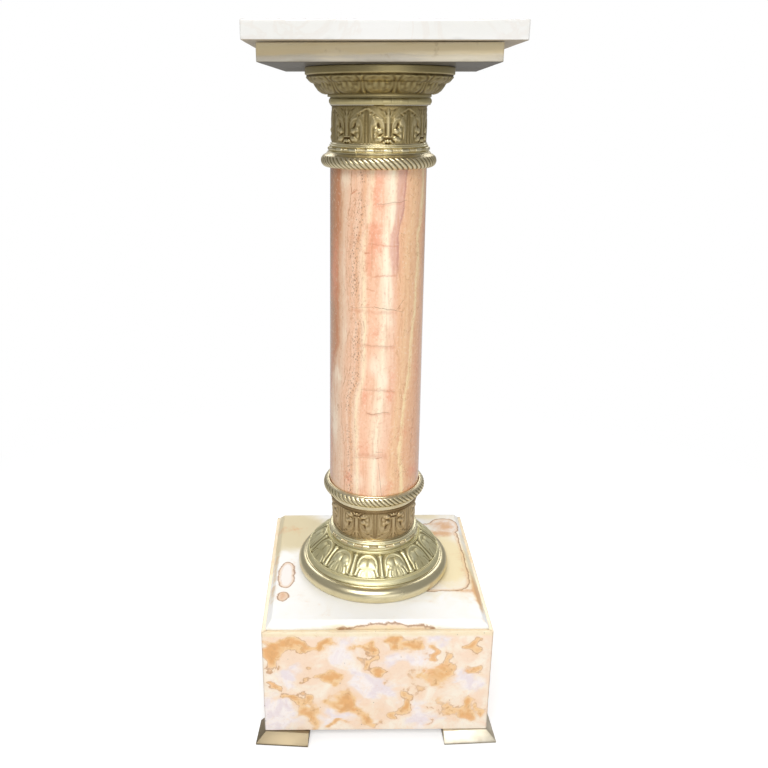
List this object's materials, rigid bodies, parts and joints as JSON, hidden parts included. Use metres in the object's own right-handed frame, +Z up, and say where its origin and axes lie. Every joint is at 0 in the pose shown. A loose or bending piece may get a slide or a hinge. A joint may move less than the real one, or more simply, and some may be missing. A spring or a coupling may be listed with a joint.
{
  "type": "pedestal column stand",
  "caption": "Onyx and bronze pedestal column: square turning top, round banded shaft between ornamented capital and base castings, box plinth on corner feet.",
  "frame": {"origin": "on the floor, under the column's axis", "axes": "+Z up the column, the plinth's plates square to X and Y, its pictured face towards -Y"},
  "size_m": [0.3634, 0.3696, 1],
  "materials": {
    "white_onyx": "polished",
    "pink_onyx": "polished, vertical bands",
    "caramel_onyx": "polished, mottled",
    "bronze": "aged, dark in the recesses",
    "brass": "worn bright",
    "iron": "plain black",
    "wood": "sawn",
    "felt": "pressed"
  },
  "bodies": {
    "stand": {"base_bell": "bronze", "base_board": "wood", "base_drum": "bronze", "base_foot_ring": "bronze", "base_rope_ring": "bronze", "bearing_ring": "brass", "bottom_nut": "iron", "bottom_packing": "felt", "bottom_washer": "iron", "capital_drum": "bronze", "capital_flare": "bronze", "capital_neck_ring": "bronze", "capital_rope_ring": "bronze", "carrier_board": "wood", "corner_block_back_left": "wood", "corner_block_back_right": "wood", "corner_block_front_left": "wood", "corner_block_front_right": "wood", "foot_back_left": "brass", "foot_back_right": "brass", "foot_front_left": "brass", "foot_front_right": "brass", "foot_screw_back_left": "iron", "foot_screw_back_right": "iron", "foot_screw_front_left": "iron", "foot_screw_front_right": "iron", "lower_slab": "white_onyx", "plinth_back_plate": "caramel_onyx", "plinth_front_plate": "caramel_onyx", "plinth_left_plate": "caramel_onyx", "plinth_panel": "white_onyx", "plinth_right_plate": "caramel_onyx", "shaft": "pink_onyx", "tie_rod": "iron", "top_nut": "iron", "top_packing": "felt", "top_washer": "iron"},
    "turning_top": {"top_slab": "white_onyx", "pivot_bush": "brass"}
  },
  "joints": [
    {"name": "top_turn", "type": "hinge", "parent": "stand", "child": "turning_top", "pos_m": [0, 0, 0.98], "axis": [0, 0, 1], "continuous": true}
  ]
}
